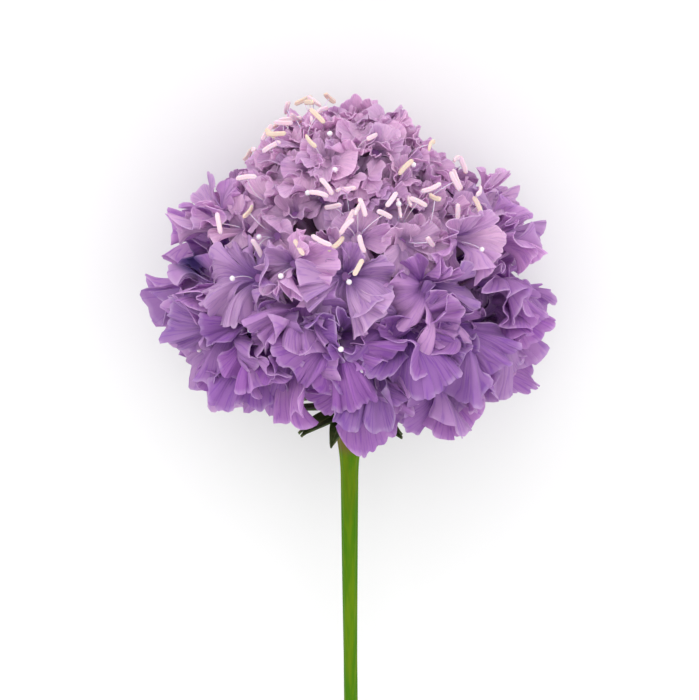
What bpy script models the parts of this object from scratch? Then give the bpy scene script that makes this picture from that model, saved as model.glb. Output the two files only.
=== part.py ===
"""A single cut scabiosa flower, lying on a table as it was cut.

The bloom is a dense head of frilled florets on a green core. It lies on its lower petals, which
are pressed flat, and the long bare stem runs down from it to its cut end on the table.
Metres, +Z up. The crown of the bloom points to -Y, and the cut end of the stem to +Y.
"""

from math import asin, cos, radians, sin, sqrt, tau

import bpy
import bmesh
import numpy as np
from mathutils import Matrix, Vector

MM = 0.001

# How the flower lies: its base, where the stem meets the bloom, is held up by the petals under it
BASE_HEIGHT = 28 * MM
BASE_REACH = 18 * MM
STEM_LENGTH = 240 * MM
STEM_END_RADIUS = 1.4 * MM
STEM_NECK_RADIUS = 1.3 * MM
STEM_TOP_RADIUS = 1.75 * MM
STEM_NECK_SHARE = 0.2
STEM_FLARE = 1.5 * MM
STEM_FLARE_SHARE = 0.05
STEM_POINT_SHARES = (0, 0.012, 0.03, 0.06, 0.12, 0.2, 0.3, 0.4, 0.5, 0.6, 0.7, 0.8, 0.9, 1.0)
STEM_SLOPE = asin((BASE_HEIGHT - STEM_END_RADIUS) / STEM_LENGTH)
STEM_BOW = 5 * MM
GAP = 0.3 * MM

# The involucre, a small green disc with leafy bracts in two whorls
DISC_RADIUS = 5.2 * MM
DISC_HEIGHT = 2.2 * MM
BRACT_COUNT = 10
BRACT_LENGTH = 11.5 * MM
BRACT_WIDTH = 3.4 * MM
BRACT_THICKNESS = 0.7 * MM
BRACT_FOLD = 0.25 * MM
BRACT_DROOP = 1.0 * MM
BRACT_INNER_DROOP = 1.5 * MM
BRACT_INNER_SHORTER = 0.18
BRACT_POINT_SHARES = np.array([0.0, 0.4, 0.75, 1.0])
BRACT_WIDTH_SHARES = np.array([0.7, 1.0, 0.75, 0.16])
DISC_FOOT_SHARE = 0.72
DISC_SIDES = 16

# The core that the florets stand on, as an ellipsoid along the bloom's axis
CORE_RADIUS = 9.0 * MM
CORE_HALF_LENGTH = 20.5 * MM
CORE_FLAT_SHARE = 0.75
CORE_SIDES = 12
CORE_RINGS = 8
CORE_CENTRE = DISC_HEIGHT + GAP + CORE_HALF_LENGTH * CORE_FLAT_SHARE

# Florets: a slim tube that opens into a limb of five lobes, the three outer ones the largest
PETAL_THICKNESS = 0.7 * MM
TUBE_RADIUS = 1.0 * MM
THROAT_RADIUS = 1.5 * MM
LOBE_RISE = radians(58)
LOBE_SPREAD = radians(6)
LOBE_STEPS = 8
LOBE_JITTER = (0.9, 1.08)
FRILL_JITTER = (0.4, 1.0)
OUTERNESS_POWER = 0.8
SMALL_COLUMNS = 8
RING_SHARES = (0.0, 0.55, 1.0)
SMALL_RING_SHARES = (0.0, 1.0)
PRESSED_RING_SHARES = (0.0, 0.5, 0.8, 1.0)
PRESSED_BELOW = 14 * MM
ROOT_DEPTH_SHARE = 0.5
OUTER_LOBE_CENTRES = (-72, 0, 72)
SHOULDER_ANGLE = 21
SHOULDER_SHARE = 0.9
NOTCH_COLUMNS = (-108, -36, 36, 108)
NOTCH_DEPTH = 0.4
INNER_LOBE_COLUMNS = (152, 208)
STAGGER = 1.4
NEIGHBOUR_LIFT = 0.06
SEED = 11

# Rows from the skirt up to the crown: the lift of what is pressed on the table in mm, how far up the axis
# and out from it each throat lies in mm, how many degrees it tips up towards the crown, how far up the
# tube is rooted in mm, how many florets, the outer and inner lobe length and the frill in mm, the turn of
# the first floret in degrees, and whether the florets are the small ones of the crown
ROW_FIELDS = ("lift", "up", "out", "tip", "root", "count", "outer", "inner", "frill", "turn", "small")
ROW_VALUES = (
    (0.5, 20, 20.5, -12, 6, 7, 16.5, 6.0, 1.8, 0, False),
    (0.0, 25, 25.0, 2, 11, 7, 17.0, 6.0, 1.9, 25.7, False),
    (0.25, 33, 25.5, 16, 17, 7, 16.0, 6.0, 1.8, 0, False),
    (0.8, 41, 20.0, 34, 24, 6, 12.5, 6.0, 1.5, 28, False),
    (0.8, 44, 13.5, 46, 29, 7, 4.8, 4.0, 0.5, 12, True),
    (0.8, 50, 11.0, 42, 33, 7, 8.2, 6.5, 1.0, 0, True),
    (0.8, 54.5, 4.2, 72, 35, 3, 7.4, 6.6, 0.8, 30, True),
)
ROWS = tuple(dict(zip(ROW_FIELDS, values)) for values in ROW_VALUES)
TURN_JITTER = 0.12
UP_JITTER = 1
TIP_JITTER = 5

# Stamens and styles that stand out of the crown: a thin filament with a bar on its end
STAMEN_COUNT = 14
STAMEN_LENGTH = 8.5 * MM
STAMEN_WIDTH = 0.8 * MM
ANTHER_LENGTH = 2.8 * MM
ANTHER_WIDTH = 1.0 * MM
ANTHER_STEP_SHARE = 0.15
ANTHER_LEAN = 0.7
STAMEN_ROOT_DEPTH = 13 * MM
STAMEN_CENTRE = 36 * MM
STAMEN_START = 15 * MM
STAMEN_START_SQUASH = 0.95
STAMEN_SPREAD = 0.62
GOLDEN_ANGLE = radians(137.5)

LAVENDER = (0.40, 0.23, 0.42, 1)
STEM_GREEN = (0.10, 0.22, 0.02, 1)
BRACT_GREEN = (0.05, 0.08, 0.02, 1)

# The bloom's own frame: X to the side, Y along the axis to the crown, Z to the side that shows
axis = Vector((0, -cos(STEM_SLOPE), sin(STEM_SLOPE)))
side = Vector((-1, 0, 0))
bloom_frame = Matrix((side, axis, side.cross(axis))).transposed().to_4x4()
bloom_frame.translation = Vector((0, BASE_REACH, BASE_HEIGHT))
z_to_axis = Matrix.Rotation(radians(-90), 4, "X")
turn_to_world = np.array(bloom_frame.to_3x3())
base_point = np.array(bloom_frame.translation)
rng = np.random.default_rng(SEED)


def to_world(points):
    """Points of the bloom's frame, one in each row, in the world."""
    return points @ turn_to_world.T + base_point


def make_material(name, colour, roughness):
    material = bpy.data.materials.new(name)
    material.use_nodes = True
    shader = material.node_tree.nodes["Principled BSDF"]
    shader.inputs["Base Color"].default_value = colour
    shader.inputs["Roughness"].default_value = roughness
    return material


def add_object(name, mesh, collection, material=None):
    obj = bpy.data.objects.new(name, mesh)
    collection.objects.link(obj)
    if material:
        mesh.materials.clear()
        mesh.materials.append(material)
    return obj


def ring_solid(name, rings, collection, apex=None):
    """A closed solid lofted through rings of equal point count, with a fan over the first and last.

    Every band is cut along the same diagonal, so the two faces of a thin limb never cross.
    """
    count = len(rings[0])
    first = rings[0].mean(0) if apex is None else apex
    points = np.vstack([first[None], *rings, rings[-1].mean(0)[None]])
    faces = []
    here = np.arange(count)
    after = np.roll(here, -1)
    for a, b in zip(here, after):
        faces.append((0, 1 + a, 1 + b))
        last = 1 + (len(rings) - 1) * count
        faces.append((len(points) - 1, last + b, last + a))
        for band in range(len(rings) - 1):
            low, high = 1 + band * count, 1 + (band + 1) * count
            if band < len(rings) // 2 - 1:
                faces += [(low + a, high + a, high + b), (low + a, high + b, low + b)]
            else:
                faces += [(low + a, high + a, low + b), (low + b, high + a, high + b)]
    mesh = bpy.data.meshes.new(name)
    mesh.from_pydata(points.tolist(), [], faces)
    bm = bmesh.new()
    bm.from_mesh(mesh)
    bmesh.ops.recalc_face_normals(bm, faces=bm.faces)
    bm.to_mesh(mesh)
    bm.free()
    return add_object(name, mesh, collection)


def floret_frame(row, turn):
    """Throat, outward axis, outer direction (towards the stem) and side direction of one floret."""
    tip = radians(row["tip"])
    around = np.array([sin(turn), 0, cos(turn)])
    up = np.array([0, 1.0, 0])
    throat = around * row["out"] * MM + up * row["up"] * MM
    outward = around * cos(tip) + up * sin(tip)
    outer = around * sin(tip) - up * cos(tip)
    return throat, outward, outer, np.cross(outward, outer)


def lobe_path(length, along):
    """Reach and rise of a lobe at a share of its length: it leaves the throat steeply, then arches out."""
    steps = np.linspace(0, along, LOBE_STEPS + 1)
    lean = LOBE_RISE + (LOBE_SPREAD - LOBE_RISE) * steps
    step = length * along / LOBE_STEPS
    reach = (np.cos(lean[:-1]) * step).sum()
    rise = (np.sin(lean[:-1]) * step).sum()
    return reach, rise


def press_on_table(middle, normal, half, lift):
    """The two faces of a limb's ring; what would sink into the table lies flat on it instead."""
    front = middle + normal * half
    back = middle - normal * half
    sunk = middle[:, 2] < lift + half
    facing_down = normal[:, 2] < 0
    for face, is_lower in ((front, facing_down), (back, ~facing_down)):
        floor = np.where(is_lower, lift, lift + 2 * half)
        face[sunk] = middle[sunk]
        face[sunk, 2] = floor[sunk]
        face[~sunk, 2] = np.maximum(face[~sunk, 2], lift)
    return front, back


def floret(name, row, turn, lift, collection):
    """One floret: the limb's inner face, its rim, its outer face and the tube down into the core."""
    throat, outward, outer, sideways = floret_frame(row, turn)
    if row["small"]:
        columns = np.arange(SMALL_COLUMNS) * 360 / SMALL_COLUMNS
        notch = np.arange(SMALL_COLUMNS) % 2 == 1
        shoulder = np.zeros(SMALL_COLUMNS, bool)
        shares = SMALL_RING_SHARES
    else:
        shoulders = [c + s for c in OUTER_LOBE_CENTRES for s in (-SHOULDER_ANGLE, SHOULDER_ANGLE)]
        found = [*OUTER_LOBE_CENTRES, *shoulders, *NOTCH_COLUMNS, *INNER_LOBE_COLUMNS]
        columns = np.array(sorted(c % 360 for c in found))
        notch = np.isin(columns, [c % 360 for c in NOTCH_COLUMNS])
        shoulder = np.isin(columns, [c % 360 for c in shoulders])
        near_table = to_world(throat[None])[0, 2] < PRESSED_BELOW
        shares = PRESSED_RING_SHARES if near_table else RING_SHARES
    angle = np.radians(columns)
    outerness = (0.5 + 0.5 * np.cos(angle)) ** OUTERNESS_POWER
    length = (row["inner"] + (row["outer"] - row["inner"]) * outerness) * MM
    length *= rng.uniform(*LOBE_JITTER, len(angle))
    length[notch] *= 1 - NOTCH_DEPTH
    length[shoulder] *= SHOULDER_SHARE
    frill = row["frill"] * MM * rng.uniform(*FRILL_JITTER, len(angle))
    frill *= np.where(np.arange(len(angle)) % 2, 1, -1)
    middles = []
    for share in shares:
        reach, rise = np.array([lobe_path(size, share) for size in length]).T
        reach += THROAT_RADIUS
        rise += frill * share**2
        spoke = np.outer(np.cos(angle), outer) + np.outer(np.sin(angle), sideways)
        middles.append(to_world(throat + spoke * reach[:, None] + np.outer(rise, outward)))
    normals = []
    for i, ring in enumerate(middles):
        inward = middles[max(i - 1, 0)]
        beyond = middles[min(i + 1, len(middles) - 1)]
        across = np.roll(ring, -1, 0) - np.roll(ring, 1, 0)
        normal = np.cross(beyond - inward, across)
        normal /= np.linalg.norm(normal, axis=1)[:, None]
        facing = normal @ (turn_to_world @ outward)
        normals.append(normal * np.where(facing < 0, -1, 1)[:, None])
    faces = [press_on_table(m, n, PETAL_THICKNESS / 2, lift) for m, n in zip(middles, normals)]
    front = [f for f, b in faces[1:]]
    back = [b for f, b in faces]
    apex = to_world((throat + outward * PETAL_THICKNESS)[None])[0]
    spoke = np.outer(np.cos(angle), outer) + np.outer(np.sin(angle), sideways)
    around = np.array([sin(turn), 0, cos(turn)])
    seat = around * CORE_RADIUS * ROOT_DEPTH_SHARE + np.array([0, row["root"] * MM, 0])
    root = to_world(seat + spoke * TUBE_RADIUS)
    return ring_solid(name, front + back[::-1] + [root], collection, apex)


def stamen(name, start, direction, lean, collection):
    """A thin three-sided filament with a blunt bar across its end, as one lofted needle."""
    tip = start + direction * STAMEN_LENGTH
    ring = np.radians([0, 120, 240])
    first = np.cross(direction, [0.3, 0.2, 0.9])
    first /= np.linalg.norm(first)
    second = np.cross(direction, first)
    bar = direction * cos(lean) + first * sin(lean)
    rings = []
    for centre, width in (
        (start - direction * STAMEN_ROOT_DEPTH, STAMEN_WIDTH),
        (tip, STAMEN_WIDTH),
        (tip + bar * ANTHER_LENGTH * ANTHER_STEP_SHARE, ANTHER_WIDTH),
        (tip + bar * ANTHER_LENGTH, ANTHER_WIDTH),
    ):
        wheel = np.outer(np.cos(ring), first) + np.outer(np.sin(ring), second)
        rings.append(to_world(centre + wheel * width / 2))
    return ring_solid(name, rings, collection)


def build_stem(collection, material):
    """The bare peduncle: a round bar that thins towards its cut end and flares under the bloom."""
    curve = bpy.data.curves.new("stem_line", "CURVE")
    curve.dimensions = "3D"
    curve.bevel_depth = 1 * MM
    curve.bevel_resolution = 3
    curve.use_fill_caps = True
    spline = curve.splines.new("POLY")
    spline.points.add(len(STEM_POINT_SHARES) - 1)
    radii = (STEM_TOP_RADIUS, STEM_NECK_RADIUS, STEM_END_RADIUS)
    for point, share in zip(spline.points, STEM_POINT_SHARES):
        bow = STEM_BOW * share**2
        place = to_world(np.array([[bow, -STEM_LENGTH * share - GAP, 0]]))[0]
        radius = np.interp(share, (0, STEM_NECK_SHARE, 1), radii)
        flare = STEM_FLARE * max(0, 1 - share / STEM_FLARE_SHARE) ** 2
        point.co = (*place, 1)
        point.radius = (radius + flare) / MM
    line = bpy.data.objects.new("stem_line", curve)
    collection.objects.link(line)
    mesh = bpy.data.meshes.new_from_object(line.evaluated_get(bpy.context.evaluated_depsgraph_get()))
    bm = bmesh.new()
    bm.from_mesh(mesh)
    bmesh.ops.remove_doubles(bm, verts=bm.verts, dist=0.00001)
    bm.to_mesh(mesh)
    bm.free()
    bpy.data.objects.remove(line)
    return add_object("stem", mesh, collection, material)


def bract(name, turn, whorl, collection):
    """A narrow leafy bract: it leaves the disc flat and arches out and down to a sharp tip."""
    length = BRACT_LENGTH * (1 - BRACT_INNER_SHORTER * whorl) * rng.uniform(0.92, 1.06)
    width = BRACT_WIDTH * BRACT_WIDTH_SHARES
    droop = -(BRACT_DROOP + BRACT_INNER_DROOP * whorl)
    around = np.array([sin(turn), 0, cos(turn)])
    across = np.array([cos(turn), 0, -sin(turn)])
    up = np.array([0, 1.0, 0])
    rings = []
    for share, wide in zip(BRACT_POINT_SHARES, width):
        middle = around * (DISC_RADIUS * 0.5 + length * share)
        middle = middle + up * (DISC_HEIGHT * (0.3 + 0.35 * (1 - whorl)) + droop * share**2)
        fold = up * BRACT_FOLD
        half = BRACT_THICKNESS / 2 * up
        rings.append(to_world(np.array([
            middle - across * wide / 2 + fold + half,
            middle + half,
            middle + across * wide / 2 + fold + half,
            middle + across * wide / 2 + fold - half,
            middle - half,
            middle - across * wide / 2 + fold - half,
        ])))
    return ring_solid(name, rings, collection)


def keep_outer_shell(mesh):
    """Fills the small hollows that crossing petals seal off: only the largest connected shell stays."""
    bm = bmesh.new()
    bm.from_mesh(mesh)
    unseen = set(bm.verts)
    shells = []
    while unseen:
        front = [unseen.pop()]
        shell = set(front)
        while front:
            near = {edge.other_vert(front[-1]) for edge in front[-1].link_edges} & unseen
            front.pop()
            front.extend(near)
            shell |= near
            unseen -= near
        shells.append(shell)
    shells.sort(key=len)
    for shell in shells[:-1]:
        bmesh.ops.delete(bm, geom=list(shell), context="VERTS")
    bm.to_mesh(mesh)
    bm.free()


def join_repeats(body, repeats, material):
    """Unites a body with every solid of a collection, applies it and removes the solids."""
    union = body.modifiers.new("union", "BOOLEAN")
    union.operation = "UNION"
    union.operand_type = "COLLECTION"
    union.collection = repeats
    union.solver = "MANIFOLD"
    mesh = bpy.data.meshes.new_from_object(body.evaluated_get(bpy.context.evaluated_depsgraph_get()))
    keep_outer_shell(mesh)
    body.modifiers.clear()
    body.data = mesh
    mesh.materials.clear()
    mesh.materials.append(material)
    for obj in list(repeats.objects):
        bpy.data.objects.remove(obj)
    bpy.data.collections.remove(repeats)
    return body


def build_involucre(collection, material):
    """The green disc under the bloom with its two whorls of bracts."""
    repeats = bpy.data.collections.new("bracts")
    bpy.context.scene.collection.children.link(repeats)
    for i in range(BRACT_COUNT):
        whorl = i % 2
        bract(f"bract_{i:02d}", tau * (i + 0.2 * rng.uniform(-1, 1)) / BRACT_COUNT, whorl, repeats)
    mesh = bpy.data.meshes.new("involucre")
    bm = bmesh.new()
    foot = DISC_RADIUS * DISC_FOOT_SHARE
    bmesh.ops.create_cone(
        bm, cap_ends=True, segments=DISC_SIDES, radius1=foot, radius2=DISC_RADIUS, depth=DISC_HEIGHT
    )
    bm.transform(bloom_frame @ Matrix.Translation((0, DISC_HEIGHT / 2, 0)) @ z_to_axis)
    bmesh.ops.triangulate(bm, faces=bm.faces)
    bm.to_mesh(mesh)
    bm.free()
    disc = add_object("involucre", mesh, collection)
    return join_repeats(disc, repeats, material)


def build_bloom(collection, material):
    """The core with every row of florets, and the stamens of the crown, united in one body."""
    repeats = bpy.data.collections.new("florets")
    bpy.context.scene.collection.children.link(repeats)
    for r, row in enumerate(ROWS):
        for k in range(row["count"]):
            turn = radians(row["turn"]) + tau * (k + TURN_JITTER * rng.uniform(-1, 1)) / row["count"]
            placed = dict(row)
            placed["up"] += rng.uniform(-UP_JITTER, UP_JITTER)
            placed["out"] += STAGGER * (1 if k % 2 else -1) * (not row["small"])
            placed["tip"] += rng.uniform(-TIP_JITTER, TIP_JITTER)
            lift = (row["lift"] + NEIGHBOUR_LIFT * ((k + 1) % 2)) * MM
            floret(f"floret_{r}_{k:02d}", placed, turn, lift, repeats)
    for i in range(STAMEN_COUNT):
        turn = i * GOLDEN_ANGLE
        height = 1 - STAMEN_SPREAD * (i + 0.5) / STAMEN_COUNT
        direction = np.array([sin(turn) * sqrt(1 - height**2), height, cos(turn) * sqrt(1 - height**2)])
        squash = np.array([1, STAMEN_START_SQUASH, 1])
        start = np.array([0, STAMEN_CENTRE, 0]) + direction * squash * STAMEN_START
        stamen(f"stamen_{i:02d}", start, direction, rng.uniform(-ANTHER_LEAN, ANTHER_LEAN), repeats)
    mesh = bpy.data.meshes.new("bloom")
    bm = bmesh.new()
    bmesh.ops.create_uvsphere(bm, u_segments=CORE_SIDES, v_segments=CORE_RINGS, radius=1)
    for corner in bm.verts:
        corner.co.z = max(corner.co.z, -CORE_FLAT_SHARE)
    shape = Matrix.Diagonal((CORE_RADIUS, CORE_RADIUS, CORE_HALF_LENGTH, 1))
    bm.transform(bloom_frame @ Matrix.Translation((0, CORE_CENTRE, 0)) @ z_to_axis @ shape)
    bmesh.ops.triangulate(bm, faces=bm.faces)
    bm.to_mesh(mesh)
    bm.free()
    core = add_object("bloom", mesh, collection)
    return join_repeats(core, repeats, material)


for leftover in list(bpy.data.objects):
    bpy.data.objects.remove(leftover)
flower = bpy.data.collections.new("scabiosa")
bpy.context.scene.collection.children.link(flower)
build_stem(flower, make_material("stem_green", STEM_GREEN, 0.5))
build_involucre(flower, make_material("bract_green", BRACT_GREEN, 0.6))
build_bloom(flower, make_material("petal_lavender", LAVENDER, 0.6))
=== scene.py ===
"""The looks of one cut scabiosa flower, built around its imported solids.

Metres, +Z up. The flower lies on a table with its crown to -Y and the stem's cut end to +Y.
"""

from math import asin, cos, radians, sin, tau

import bmesh
import bpy
import numpy as np
from mathutils import Matrix, Vector


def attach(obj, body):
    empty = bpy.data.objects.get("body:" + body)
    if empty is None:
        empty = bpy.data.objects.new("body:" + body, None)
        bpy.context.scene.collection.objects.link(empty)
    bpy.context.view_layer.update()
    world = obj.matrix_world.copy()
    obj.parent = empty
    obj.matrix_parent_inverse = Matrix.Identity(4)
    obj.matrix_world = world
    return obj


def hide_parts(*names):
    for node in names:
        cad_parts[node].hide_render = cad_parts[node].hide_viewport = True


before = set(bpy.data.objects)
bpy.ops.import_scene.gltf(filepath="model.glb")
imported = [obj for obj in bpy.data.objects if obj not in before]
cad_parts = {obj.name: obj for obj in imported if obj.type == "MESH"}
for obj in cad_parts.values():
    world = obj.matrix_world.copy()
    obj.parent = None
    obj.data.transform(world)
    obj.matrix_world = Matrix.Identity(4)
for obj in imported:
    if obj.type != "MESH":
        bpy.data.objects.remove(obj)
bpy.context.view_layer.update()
MM = 0.001

# The lie of the flower
# A cut scabiosa has no vase to stand in, so it lies on its lower petals and on the stem's cut end.
# The axis of the head slopes with the stem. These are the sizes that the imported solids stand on.
STEM_LENGTH = 240 * MM
STEM_END_RADIUS = 1.4 * MM
BASE_HEIGHT = 28 * MM
BASE_REACH = 18 * MM
STEM_SLOPE = asin((BASE_HEIGHT - STEM_END_RADIUS) / STEM_LENGTH)
AXIS = np.array([0, -cos(STEM_SLOPE), sin(STEM_SLOPE)])
SIDE = np.array([-1.0, 0, 0])
FACING = np.cross(SIDE, AXIS)
TO_WORLD = np.column_stack([SIDE, AXIS, FACING])
BASE = np.array([0, BASE_REACH, BASE_HEIGHT])
ALONG_AXIS = np.array([0, 1.0, 0])
# The picture's own directions: the camera looks down on the head's front from above its crown.
CAMERA_TILT = radians(22)
back = FACING * cos(CAMERA_TILT) + AXIS * sin(CAMERA_TILT)
picture_up = AXIS * cos(CAMERA_TILT) - FACING * sin(CAMERA_TILT)


def in_world(points):
    """Points given as (to the side, up the axis, towards the viewer) from the base of the head."""
    return points @ TO_WORLD.T + BASE


def around_axis(turn):
    """The direction away from the head's axis at a turn, 0 facing the viewer."""
    turn = np.asarray(turn, float)
    return np.stack([np.sin(turn), np.zeros_like(turn), np.cos(turn)], axis=-1)


# The stem
# The bare green peduncle of the flower: a slim stalk with fine lengthwise ribs. It flares under the
# head, narrows just below it and runs down to a straight florist's cut.
STEM_TOP_RADIUS = 1.75 * MM
STEM_NECK_RADIUS = 1.3 * MM
STEM_NECK_SHARE = 0.2
STEM_FLARE = 1.5 * MM
STEM_FLARE_SHARE = 0.05
STEM_BOW = 5 * MM
STEM_RIBS = 9
STEM_RIB_DEPTH = 0.045
# The ribs turn by this many radians from the head to the cut.
STEM_RIB_TWIST = 6
STEM_SIDES = 72
STEM_RINGS = 260
STEM_RING_EASE = 1.25
SEAT_GAP = 0.3 * MM
TABLE_CLEARANCE = 0.02 * MM
SHARP_ANGLE = radians(50)
# Down from the head the olive brown fades to green between these two lengths. The top's hidden middle
# counts as one length down, and the last stretch before the cut is pale.
OLIVE_FADE = (5.4 * MM, 8.0 * MM)
TOP_MIDDLE = 4 * MM
PALE_STRETCH = 1.2 * MM
DEEP_GREEN = (0.060, 0.19, 0.002)
BRIGHT_GREEN = (0.125, 0.235, 0.003)
YELLOW_GREEN = (0.165, 0.20, 0.003)
OLIVE_BROWN = (0.165, 0.14, 0.028)
CUT_PALE = (0.42, 0.47, 0.22)


def grid_faces(rows, columns, closed=False, first=0):
    """Quads of a grid of vertices stored row by row; closed joins the last column to the first."""
    i, j = np.meshgrid(np.arange(rows - 1), np.arange(columns if closed else columns - 1), indexing="ij")
    k = (j + 1) % columns
    low, high = i * columns, (i + 1) * columns
    return np.stack([low + j, low + k, high + k, high + j], axis=-1).reshape(-1, 4) + first


def end_fans(rings, sides, first=0):
    """The fans that close a tube's two ends: its first and last rings, each with its own centre point,
    which are stored after the rings."""
    ring, count = first + np.arange(sides), rings * sides
    return [(ring, first + count), (ring + count - sides, first + count + 1)]


def new_piece(name, points, quads, material, fans=()):
    """A mesh object at the origin from point and quad arrays. fans are (ring of indices, centre index)."""
    faces = [tuple(q) for q in quads.tolist()]
    for ring, centre in fans:
        faces += [(int(a), int(b), int(centre)) for a, b in zip(ring, np.roll(ring, -1))]
    mesh = bpy.data.meshes.new(name)
    mesh.from_pydata(points.reshape(-1, 3).tolist(), [], faces)
    mesh.materials.append(material)
    mesh.shade_smooth()
    mesh.set_sharp_from_angle(angle=SHARP_ANGLE)
    obj = bpy.data.objects.new(name, mesh)
    bpy.context.scene.collection.objects.link(obj)
    return obj


def add_value(obj, name, values):
    """One number for each vertex, which the materials read by its name."""
    attribute = obj.data.attributes.new(name, "FLOAT", "POINT")
    attribute.data.foreach_set("value", np.ascontiguousarray(values, np.float32).ravel())


def point_normals_out(obj):
    """Turns the faces of closed shells so that they point outwards."""
    bm = bmesh.new()
    bm.from_mesh(obj.data)
    bmesh.ops.recalc_face_normals(bm, faces=bm.faces)
    bm.to_mesh(obj.data)
    bm.free()


def new_group(name, inputs, outputs):
    """A node group with named number sockets. Returns its tree, its input node and its output node."""
    tree = bpy.data.node_groups.new(name, "ShaderNodeTree")
    for way, names in (("INPUT", inputs), ("OUTPUT", outputs)):
        for socket in names:
            tree.interface.new_socket(name=socket, in_out=way, socket_type="NodeSocketFloat")
    return tree, tree.nodes.new("NodeGroupInput"), tree.nodes.new("NodeGroupOutput")


def math_node(tree, operation, first, second=None, clamp=False):
    """The result of a Math node on sockets or plain numbers."""
    node = tree.nodes.new("ShaderNodeMath")
    node.operation = operation
    node.use_clamp = clamp
    for socket, value in zip(node.inputs, (first, second)):
        if isinstance(value, (int, float)):
            socket.default_value = value
        elif value is not None:
            tree.links.new(value, socket)
    return node.outputs[0]


def noise_node(tree, vector, scale, detail, roughness=0.5):
    """The grey value of a noise on a vector socket. The scale is a socket or a plain number."""
    node = tree.nodes.new("ShaderNodeTexNoise")
    node.inputs["Detail"].default_value = detail
    node.inputs["Roughness"].default_value = roughness
    if isinstance(scale, (int, float)):
        node.inputs["Scale"].default_value = scale
    else:
        tree.links.new(scale, node.inputs["Scale"])
    tree.links.new(vector, node.inputs["Vector"])
    return node.outputs["Fac"]


class Shader:
    """A material being wired: add makes a node, link joins sockets, shader is its Principled BSDF."""

    def __init__(self, name, **fixed):
        """A new material, with fixed values for sockets whose spaces are written as _."""
        self.material = bpy.data.materials.new(name)
        self.material.use_nodes = True
        self.tree = self.material.node_tree
        self.shader = self.tree.nodes["Principled BSDF"]
        for socket, value in fixed.items():
            self.shader.inputs[socket.replace("_", " ")].default_value = value

    def add(self, kind, **settings):
        """A new node with its settings."""
        node = self.tree.nodes.new(kind)
        for key, value in settings.items():
            setattr(node, key, value)
        return node

    def link(self, source, target):
        """Joins an output socket to an input socket."""
        self.tree.links.new(source, target)

    def math(self, operation, first, second):
        """The result of a Math node on sockets or plain numbers."""
        return math_node(self.tree, operation, first, second)

    def ramp(self, value, low, high, to_low=0.0, to_high=1.0):
        """A smooth step of a value from low to high."""
        node = self.add("ShaderNodeMapRange", interpolation_type="SMOOTHSTEP")
        limits = {"From Min": low, "From Max": high, "To Min": to_low, "To Max": to_high}
        for socket, number in limits.items():
            node.inputs[socket].default_value = number
        self.link(value, node.inputs["Value"])
        return node.outputs["Result"]

    def mix(self, share, first, second):
        """Two colours mixed; each is a socket or a plain colour."""
        node = self.add("ShaderNodeMix", data_type="RGBA")
        if isinstance(share, (int, float)):
            node.inputs["Factor"].default_value = share
        else:
            self.link(share, node.inputs["Factor"])
        for name, value in (("A", first), ("B", second)):
            socket = [s for s in node.inputs if s.name == name and s.type == "RGBA"][0]
            if isinstance(value, tuple):
                socket.default_value = (*value, 1)
            else:
                self.link(value, socket)
        return [s for s in node.outputs if s.type == "RGBA"][0]

    def noise(self, vector, scale, detail):
        """The grey value of a slightly rougher noise on a vector socket."""
        return noise_node(self.tree, vector, scale, detail, roughness=0.55)

    def value(self, name):
        """A piece's own attribute, read by its name."""
        return self.add("ShaderNodeAttribute", attribute_name=name).outputs["Fac"]

    def group(self, tree, **values):
        """A node group placed with its own values, sockets or plain numbers."""
        node = self.add("ShaderNodeGroup", node_tree=tree)
        for key, value in values.items():
            if isinstance(value, (int, float)):
                node.inputs[key].default_value = value
            else:
                self.link(value, node.inputs[key])
        return node

    def bump(self, height, strength, distance):
        """Puts a height on the surface as a bump."""
        node = self.add("ShaderNodeBump")
        node.inputs["Strength"].default_value = strength
        node.inputs["Distance"].default_value = distance
        self.link(height, node.inputs["Height"])
        self.link(node.outputs["Normal"], self.shader.inputs["Normal"])


def stretched_streaks():
    """A node group: noise drawn out along Y, the streaks of a stem or a leaf, and a finer even grain."""
    tree, inside, outside = new_group("plant_streaks", ("Scale", "Stretch"), ("Streak", "Grain"))
    nodes, links = tree.nodes, tree.links
    where = nodes.new("ShaderNodeTexCoord").outputs["Object"]
    shape = nodes.new("ShaderNodeCombineXYZ")
    shape.inputs["X"].default_value = 1
    shape.inputs["Z"].default_value = 1
    links.new(inside.outputs["Stretch"], shape.inputs["Y"])
    drawn = nodes.new("ShaderNodeVectorMath")
    drawn.operation = "MULTIPLY"
    links.new(where, drawn.inputs[0])
    links.new(shape.outputs[0], drawn.inputs[1])
    for vector, output, factor in ((drawn.outputs[0], "Streak", 1.0), (where, "Grain", 3.0)):
        scaled = math_node(tree, "MULTIPLY", inside.outputs["Scale"], factor)
        links.new(noise_node(tree, vector, scaled, 4.0), outside.inputs[output])
    return tree


plant_streaks = stretched_streaks()


def stem_material():
    """Fresh green with darker and yellower streaks, olive brown at the head and pale at the cut."""
    m = Shader("stem_skin", Roughness=0.55, Specular_IOR_Level=0.08, Subsurface_Weight=0.12)
    m.shader.inputs["Subsurface Scale"].default_value = 1.2 * MM
    streak = m.group(plant_streaks, Scale=900.0, Stretch=0.05)
    wide = m.group(plant_streaks, Scale=330.0, Stretch=0.06)
    green = m.mix(m.ramp(streak.outputs["Streak"], 0.35, 0.68), DEEP_GREEN, BRIGHT_GREEN)
    green = m.mix(m.ramp(wide.outputs["Streak"], 0.5, 0.72, 0, 0.55), green, YELLOW_GREEN)
    along = m.value("along")
    green = m.mix(m.ramp(along, OLIVE_FADE[1], OLIVE_FADE[0]), green, OLIVE_BROWN)
    green = m.mix(m.ramp(along, STEM_LENGTH - PALE_STRETCH, STEM_LENGTH), green, CUT_PALE)
    m.link(green, m.shader.inputs["Base Color"])
    m.bump(streak.outputs["Streak"], 0.35, 0.12 * MM)
    return m.material


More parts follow.
